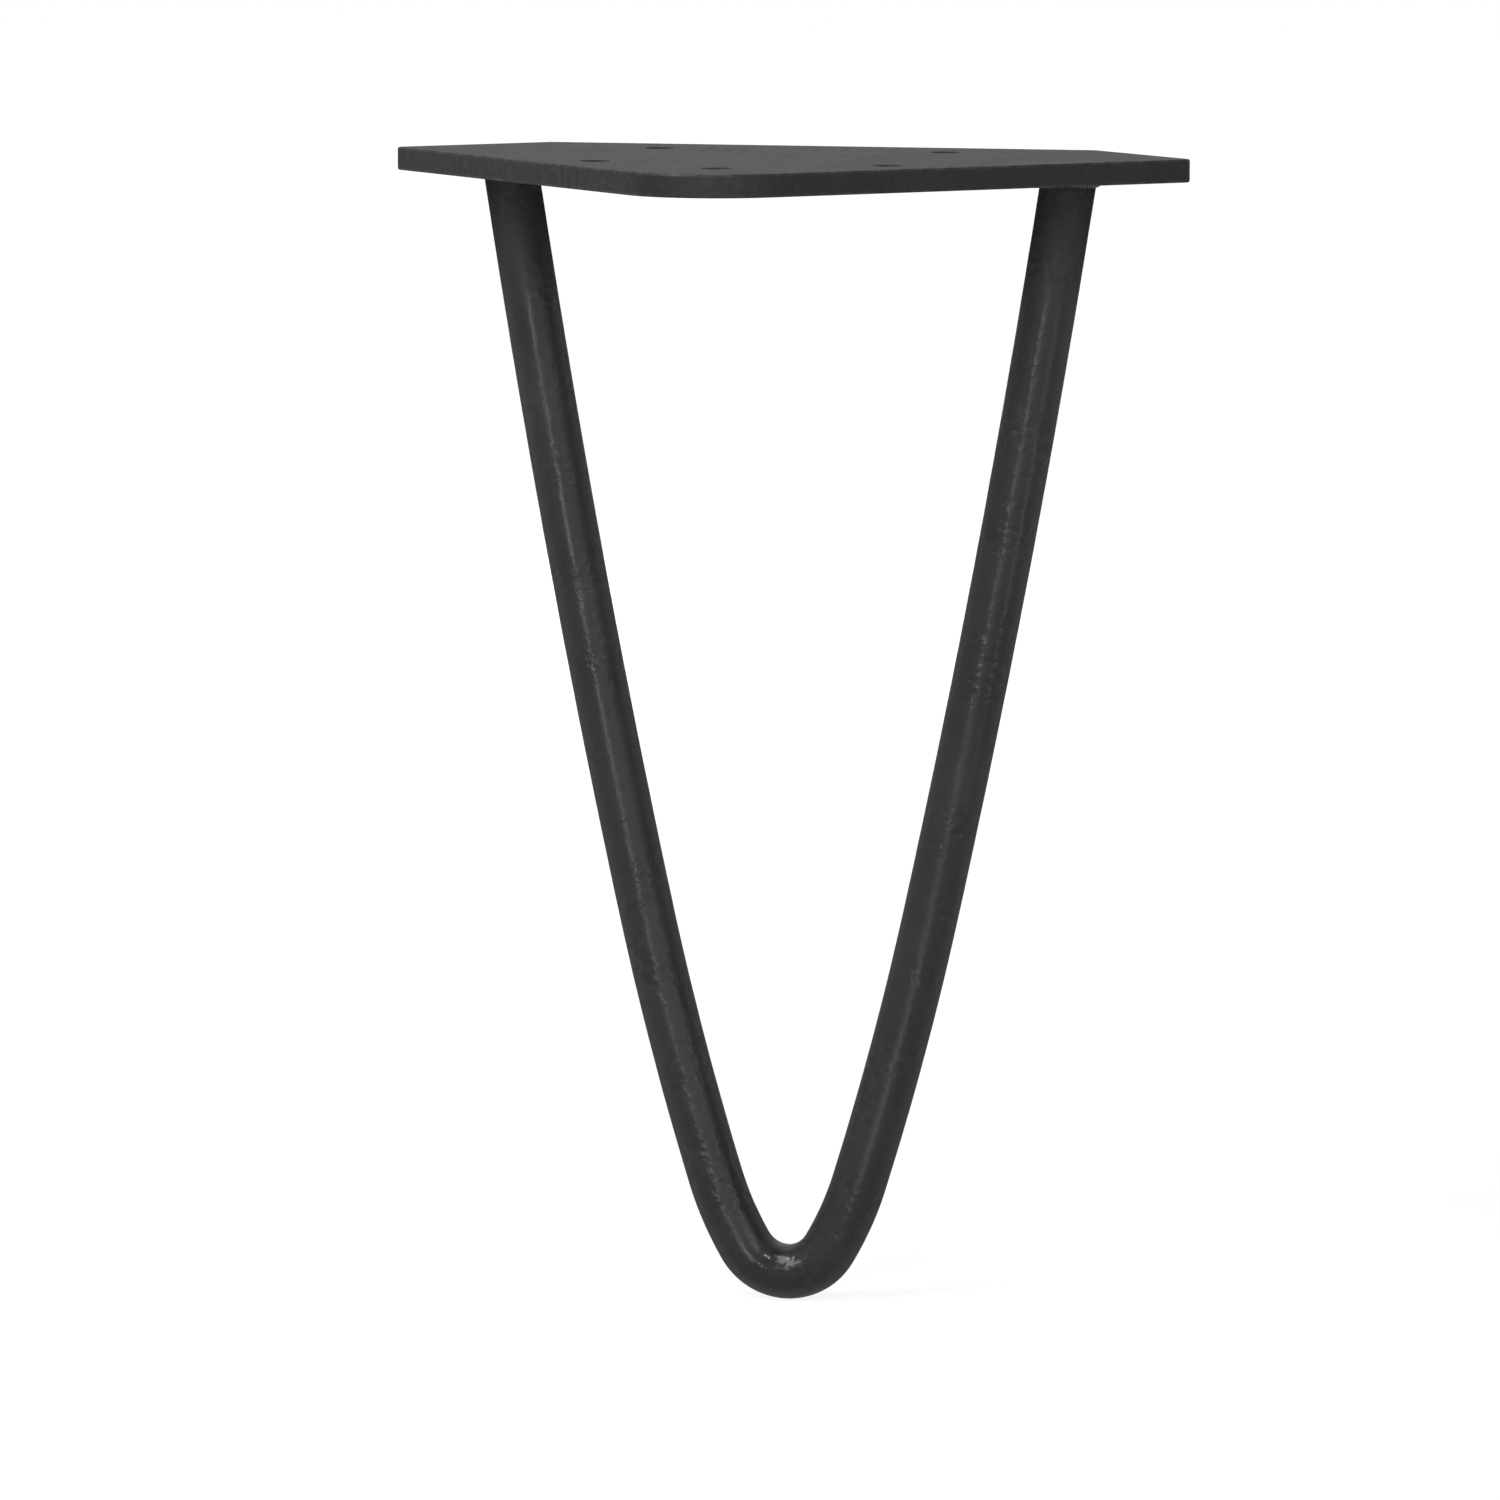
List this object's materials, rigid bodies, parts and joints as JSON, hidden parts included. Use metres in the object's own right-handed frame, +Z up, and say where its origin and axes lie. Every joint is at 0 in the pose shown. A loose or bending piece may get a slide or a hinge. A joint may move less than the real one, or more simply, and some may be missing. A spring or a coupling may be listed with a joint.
{
  "type": "hairpin table leg",
  "caption": "Hairpin leg for a table or cabinet: a round steel bar bent into a narrow hairpin and welded under a flat corner plate with screw holes.",
  "frame": {"origin": "on the plate's top face, midway between the two ends of the bar", "axes": "+Z up into the furniture, the hairpin in the XZ plane with its nose straight below the origin, the plate's rounded corner towards -Y"},
  "size_m": [0.1762, 0.1068, 0.25],
  "materials": {
    "plate_coat": "black powder coat, satin",
    "bar_coat": "black powder coat, satin",
    "weld_coat": "black powder coat over the weld, satin"
  },
  "bodies": {
    "root": {"mounting_plate": "plate_coat", "hairpin_bar": "bar_coat", "weld_left": "weld_coat", "weld_right": "weld_coat"}
  },
  "joints": []
}
